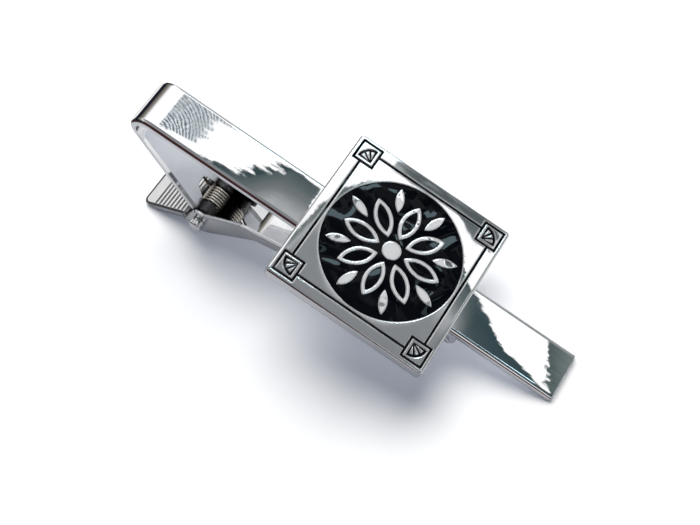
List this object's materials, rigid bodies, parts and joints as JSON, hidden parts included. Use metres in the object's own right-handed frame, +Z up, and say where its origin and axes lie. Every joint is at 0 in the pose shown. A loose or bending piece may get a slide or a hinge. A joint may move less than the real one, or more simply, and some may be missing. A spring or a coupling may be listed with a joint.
{
  "type": "tie clip",
  "caption": "Folded metal tie clip with a sprung alligator lever behind a flat bar and a square enamelled emblem plate across its front.",
  "frame": {"origin": "on the table, under the middle of the part's box, with the clip lying on its thumb tab and its bar tip as in the picture", "axes": "+X from the bend to the bar's tip along the table, +Y across the strip, +Z up from the table; the bar's front face leans by the tilt towards +X"},
  "size_m": [0.0564, 0.02, 0.0202],
  "materials": {
    "bright_metal": "polished",
    "lever_metal": "polished",
    "pin_metal": "polished",
    "plate_metal": "polished",
    "spring_wire": "bright drawn",
    "solder": "plated",
    "enamel": "gloss"
  },
  "bodies": {
    "bar": {"front_bar": "bright_metal", "pivot_pin": "pin_metal", "torsion_spring": "spring_wire", "solder_pad": "solder", "emblem_plate": "plate_metal", "disc_enamel": "enamel", "border_enamel": "enamel", "corner_enamel_near_right": "enamel", "corner_enamel_far_right": "enamel", "corner_enamel_far_left": "enamel", "corner_enamel_near_left": "enamel", "leaf_enamel_1": "enamel", "leaf_enamel_2": "enamel", "leaf_enamel_3": "enamel", "leaf_enamel_4": "enamel", "leaf_enamel_5": "enamel", "leaf_enamel_6": "enamel", "leaf_enamel_7": "enamel", "leaf_enamel_8": "enamel"},
    "lever": {"clip_lever": "lever_metal"}
  },
  "joints": [
    {"name": "lever_pivot", "type": "hinge", "parent": "bar", "child": "lever", "pos_m": [-0.01825, 0, 0.00376], "axis": [0, 1, 0], "range_deg": [0, 40], "stiffness_Nm_per_rad": 0.03, "springref_deg": -57.3, "deforming": ["torsion_spring"]}
  ]
}
